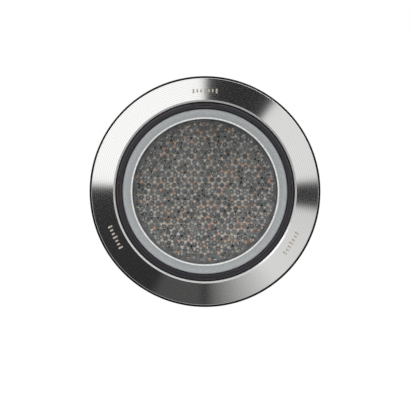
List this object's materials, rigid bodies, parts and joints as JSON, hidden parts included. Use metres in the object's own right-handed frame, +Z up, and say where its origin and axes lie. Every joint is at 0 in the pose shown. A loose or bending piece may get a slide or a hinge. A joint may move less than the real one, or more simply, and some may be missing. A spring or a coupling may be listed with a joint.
{
  "type": "underwater pool light",
  "caption": "Round recessed underwater light for a pool or spa wall, with a brushed steel face ring, faceted lens, threaded housing, lock nut and cable gland.",
  "frame": {"origin": "on the light's axis, in the plane of the wall's wet face, where the wall gasket seats", "axes": "+Y along the optical axis, into the wall; the light shines towards -Y; +Z up; +X to the right seen from the water"},
  "size_m": [0.0692, 0.0658, 0.0692],
  "materials": {
    "brushed_steel": "lathe-brushed stainless steel, fine concentric lines",
    "stainless": "bright stainless",
    "black_polymer": "moulded black glass-filled polymer, fine texture",
    "gloss_black": "polished black",
    "black_rubber": "matt black rubber",
    "white_acetal": "natural acetal, satin",
    "clear_lens": "clear window with a frosted grey rim",
    "prism": "smoked lenslets over a pale layer",
    "silvered": "bright metallised plastic",
    "white_board": "white solder mask on an aluminium core",
    "green_board": "green solder mask",
    "led_phosphor": "amber-yellow phosphor under silicone",
    "grey_pad": "soft grey silicone pad",
    "aluminium": "bead-blasted",
    "dark_part": "moulded epoxy",
    "blue_sleeve": "heat-shrunk sleeve",
    "green_terminal": "moulded nylon",
    "red_wire": "soft insulation",
    "black_wire": "soft insulation"
  },
  "bodies": {
    "light": {"board_screw_1": "stainless", "board_screw_2": "stainless", "board_screw_3": "stainless", "bridge_rectifier": "dark_part", "cap_screw_1": "stainless", "cap_screw_2": "stainless", "cap_screw_3": "stainless", "cap_screw_4": "stainless", "capacitor": "blue_sleeve", "circlip": "stainless", "driver_board": "green_board", "driver_chip": "dark_part", "driver_screw_1": "stainless", "driver_screw_2": "stainless", "driver_screw_3": "stainless", "face_ring": "brushed_steel", "gland_body": "black_polymer", "gland_lock_nut": "black_polymer", "gland_seal": "black_rubber", "gland_washer": "black_rubber", "heat_sink": "aluminium", "housing": "black_polymer", "inductor": "dark_part", "led_1": "led_phosphor", "led_2": "led_phosphor", "led_3": "led_phosphor", "led_4": "led_phosphor", "led_5": "led_phosphor", "led_6": "led_phosphor", "led_7": "led_phosphor", "led_board": "white_board", "lens": "clear_lens", "lens_gasket": "black_rubber", "lens_o_ring": "black_rubber", "prism_plate": "prism", "rear_cap": "black_polymer", "rear_o_ring": "black_rubber", "reflector": "silvered", "standoff_1": "white_acetal", "standoff_2": "white_acetal", "standoff_3": "white_acetal", "terminal_block": "green_terminal", "thermal_pad": "grey_pad", "wall_gasket": "black_rubber", "wire_black": "black_wire", "wire_red": "red_wire"},
    "retainer_carrier": {"slip_ring": "white_acetal"},
    "retainer": {"retaining_ring": "gloss_black"},
    "wall_clamp": {"wall_washer": "white_acetal"},
    "nut": {"lock_nut": "black_polymer"},
    "cable_clamp": {"gland_clamp_ring": "white_acetal"},
    "cable_nut": {"gland_nut": "black_polymer"}
  },
  "joints": [
    {"name": "retainer_advance", "type": "slide", "parent": "light", "child": "retainer_carrier", "axis": [0, -1, 0], "range_m": [0, 0.00291]},
    {"name": "retainer_turn", "type": "hinge", "parent": "retainer_carrier", "child": "retainer", "pos_m": [0, -0.0028, 0], "axis": [0, -1, 0], "range_deg": [0, 1044]},
    {"name": "nut_advance", "type": "slide", "parent": "light", "child": "wall_clamp", "axis": [0, 1, 0], "range_m": [-0.00601, 0.01801]},
    {"name": "nut_turn", "type": "hinge", "parent": "wall_clamp", "child": "nut", "pos_m": [0, 0.0145, 0], "axis": [0, 1, 0], "range_deg": [-1080, 3240]},
    {"name": "cable_clamp_advance", "type": "slide", "parent": "light", "child": "cable_clamp", "axis": [0, 1, 0], "range_m": [0, 0.00639]},
    {"name": "cable_nut_turn", "type": "hinge", "parent": "cable_clamp", "child": "cable_nut", "pos_m": [0, 0.053, 0], "axis": [0, 1, 0], "range_deg": [0, 1530]}
  ],
  "couplings": [
    {"joint": "retainer_advance", "follows": "retainer_turn", "m_per_rad": 0.00015915},
    {"joint": "nut_advance", "follows": "nut_turn", "m_per_rad": 0.00031831},
    {"joint": "cable_clamp_advance", "follows": "cable_nut_turn", "m_per_rad": 0.00023873}
  ]
}
